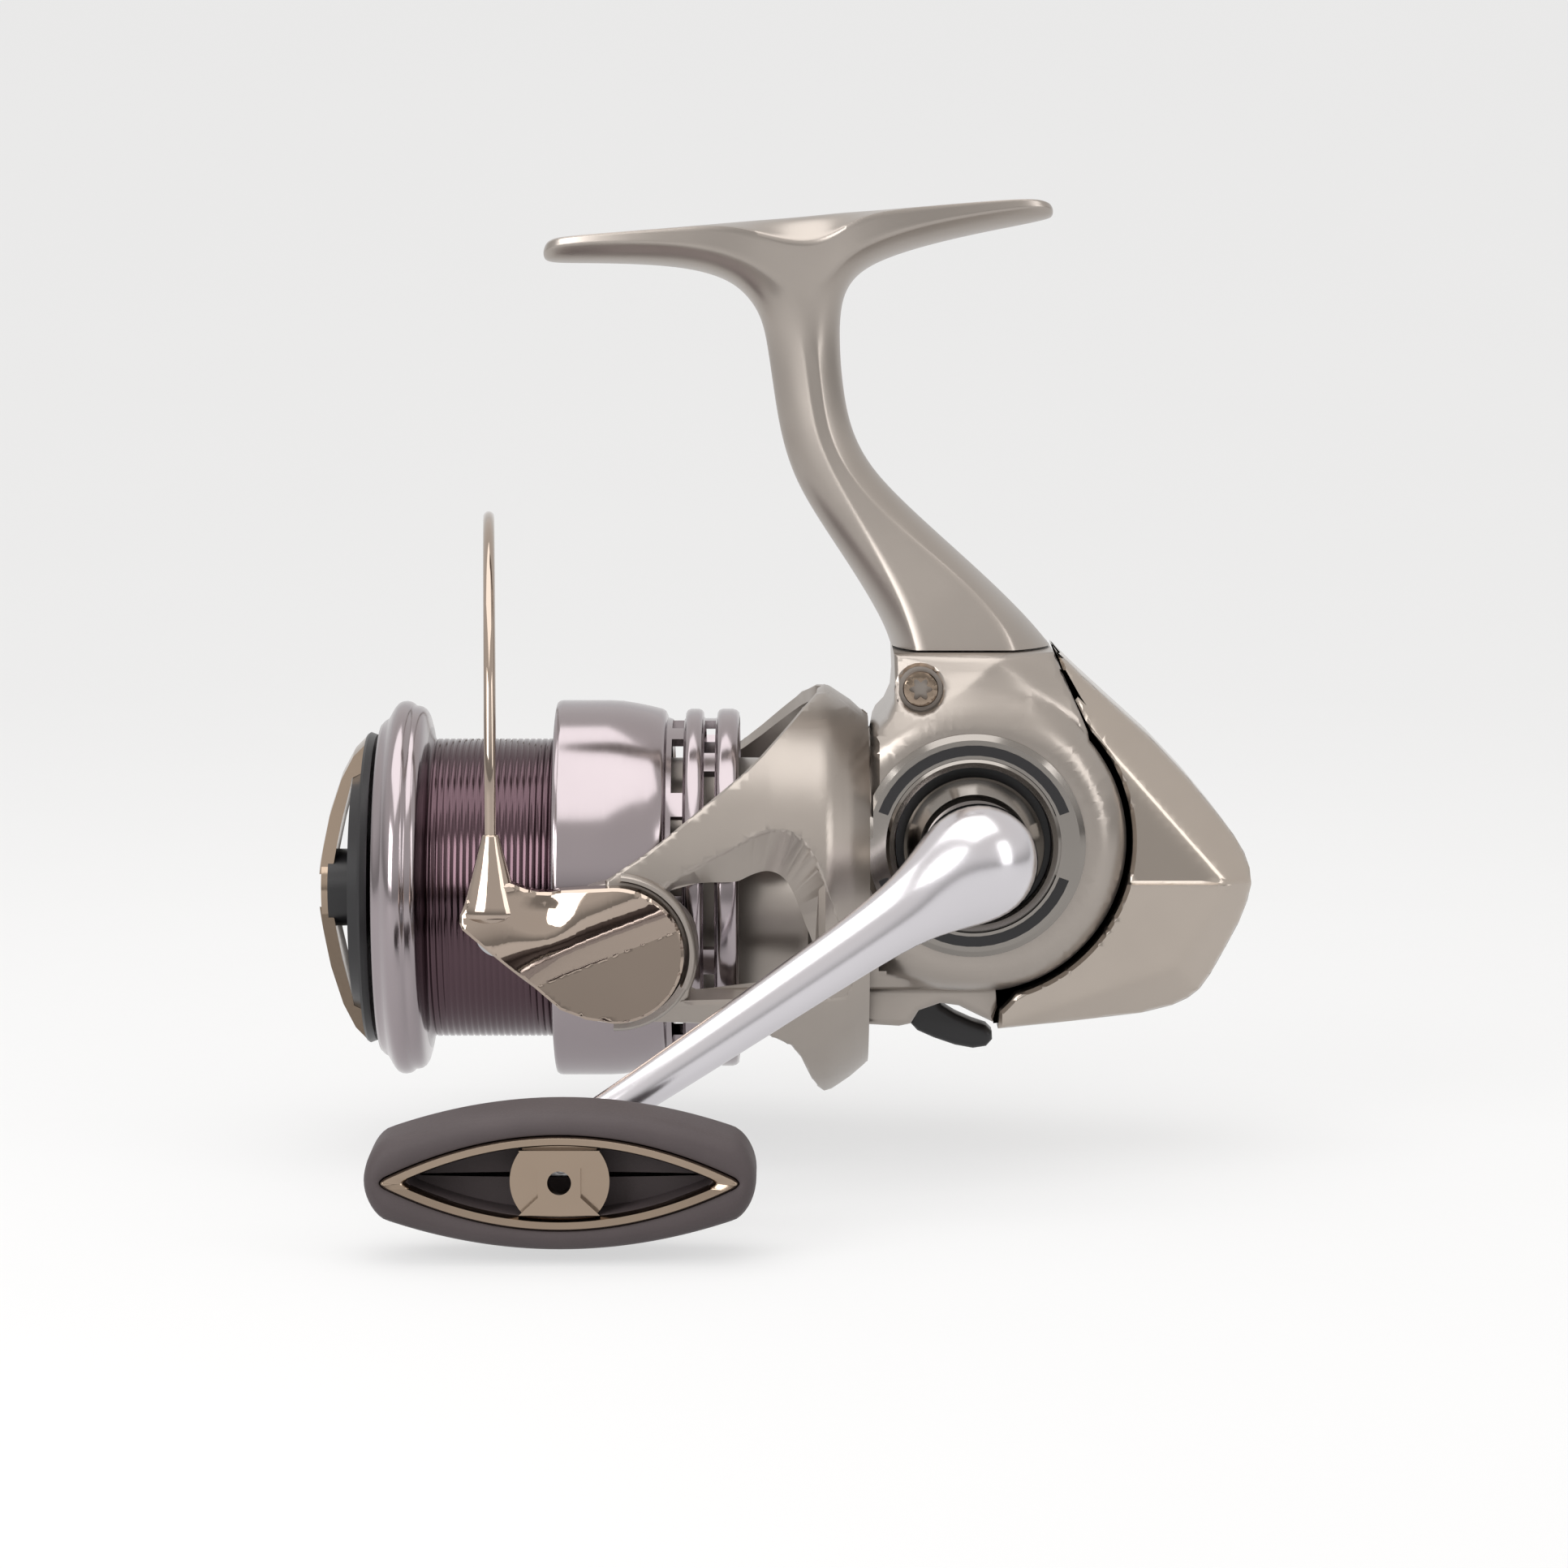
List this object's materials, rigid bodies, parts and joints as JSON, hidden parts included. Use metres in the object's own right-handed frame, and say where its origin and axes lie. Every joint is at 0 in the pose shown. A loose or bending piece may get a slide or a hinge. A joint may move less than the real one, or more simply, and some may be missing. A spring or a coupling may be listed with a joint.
{
  "type": "spinning reel",
  "caption": "Spinning reel with foot and stem, turning rotor with folding bail, oscillating ported spool, arched drag knob and single crank with T-shaped knob.",
  "frame": {"origin": "middle of the foot's seat, where the reel meets the rod", "axes": "X along the spool axis with -X at the front, where the line leaves; -Y on the handle side; +Z towards the rod"},
  "size_m": [0.1124, 0.1061, 0.1137],
  "materials": {
    "satin_alloy": "satin champagne grey metallic",
    "gloss_cover": "gloss champagne grey metallic",
    "purple_anodised": "gloss anodised, fine turned",
    "bronze_plate": "polished bronze anodised",
    "champagne_chrome": "mirror polished",
    "gunmetal": "polished gunmetal",
    "silver_handle": "fine satin",
    "black_plastic": "moulded",
    "knob_rubber": "soft matte",
    "steel": "machined",
    "brass": "machined",
    "zinc_alloy": "die cast",
    "white_plastic": "moulded",
    "drag_felt": "pressed felt between steel"
  },
  "bodies": {
    "frame": {"body_frame": "satin_alloy", "side_cover": "satin_alloy", "rear_cover": "gloss_cover", "cover_screws": "steel", "cap_ring_near": "gunmetal", "cap_ring_far": "gunmetal", "cap_ring_inlays": "black_plastic", "drive_bearing_near": "steel", "drive_bearing_far": "steel", "oscillation_axle": "steel", "pinion_bearing_front": "steel", "one_way_clutch": "black_plastic", "clutch_rollers": "steel", "clutch_retainer": "black_plastic", "clutch_screws": "steel", "slider_rail": "steel"},
    "crank": {"drive_gear": "zinc_alloy", "drive_shaft": "zinc_alloy", "oscillation_pinion": "zinc_alloy", "handle_arm": "silver_handle", "handle_shaft": "steel", "handle_collar": "gunmetal", "knob_spindle": "steel", "shaft_cap": "gunmetal"},
    "knob": {"knob_body": "knob_rubber", "knob_trim": "bronze_plate", "knob_bridge": "bronze_plate", "knob_bushings": "white_plastic"},
    "osc_gear": {"oscillation_gear": "white_plastic"},
    "reverse_lever": {"anti_reverse_lever": "black_plastic"},
    "rotor": {"rotor": "satin_alloy", "pinion": "brass", "clutch_sleeve": "steel", "rotor_nut": "steel", "nut_retainer": "steel", "arm_caps": "black_plastic", "bail_pivot_screws": "steel", "bail_spring": "steel"},
    "bail": {"bail_arm": "champagne_chrome", "bail_wire": "champagne_chrome", "bail_holder": "champagne_chrome", "roller_bush": "white_plastic", "roller_screw": "steel"},
    "roller": {"line_roller": "steel"},
    "shaft": {"main_shaft": "steel", "slider": "zinc_alloy", "slider_screw": "steel", "click_gear": "white_plastic", "spool_post": "white_plastic"},
    "spool": {"spool": "purple_anodised", "spool_bushings": "white_plastic", "drag_washers": "drag_felt", "drag_clip": "steel", "click_spring": "steel"},
    "drag_knob": {"drag_knob": "bronze_plate", "drag_knob_base": "black_plastic", "drag_hub": "black_plastic", "drag_nut": "brass", "drag_spring": "steel", "drag_pressure_plate": "steel"}
  },
  "joints": [
    {"name": "handle_turn", "type": "hinge", "parent": "frame", "child": "crank", "pos_m": [0.0208, -0.02, -0.074], "axis": [0, 1, 0], "continuous": true},
    {"name": "knob_spin", "type": "hinge", "parent": "crank", "child": "knob", "pos_m": [-0.02594, -0.06, -0.10298], "axis": [0, 1, 0], "continuous": true},
    {"name": "osc_gear_turn", "type": "hinge", "parent": "frame", "child": "osc_gear", "pos_m": [0.0346, -0.005, -0.0802], "axis": [0, 1, 0], "continuous": true},
    {"name": "reverse_switch", "type": "hinge", "parent": "frame", "child": "reverse_lever", "pos_m": [0.0148, 0, -0.0928], "axis": [1, 0, 0], "range_deg": [-12, 12]},
    {"name": "rotor_turn", "type": "hinge", "parent": "frame", "child": "rotor", "pos_m": [-0.0092, 0, -0.0812], "axis": [1, 0, 0], "continuous": true},
    {"name": "bail_flip", "type": "hinge", "parent": "rotor", "child": "bail", "pos_m": [-0.0212, 0, -0.085], "axis": [0, -1, 0], "range_deg": [0, 100]},
    {"name": "roller_spin", "type": "hinge", "parent": "bail", "child": "roller", "pos_m": [-0.0348, -0.027, -0.0828], "axis": [0, 1, 0], "continuous": true},
    {"name": "oscillation", "type": "slide", "parent": "frame", "child": "shaft", "axis": [1, 0, 0], "range_m": [-0.007, 0.007]},
    {"name": "drag_slip", "type": "hinge", "parent": "shaft", "child": "spool", "pos_m": [-0.0342, 0, -0.0812], "axis": [1, 0, 0], "continuous": true},
    {"name": "drag_adjust", "type": "hinge", "parent": "shaft", "child": "drag_knob", "pos_m": [-0.0542, 0, -0.0812], "axis": [1, 0, 0], "range_deg": [-540, 540]}
  ],
  "couplings": [
    {"joint": "rotor_turn", "follows": "handle_turn", "ratio": 5.2222},
    {"joint": "osc_gear_turn", "follows": "handle_turn", "ratio": -0.4375}
  ]
}
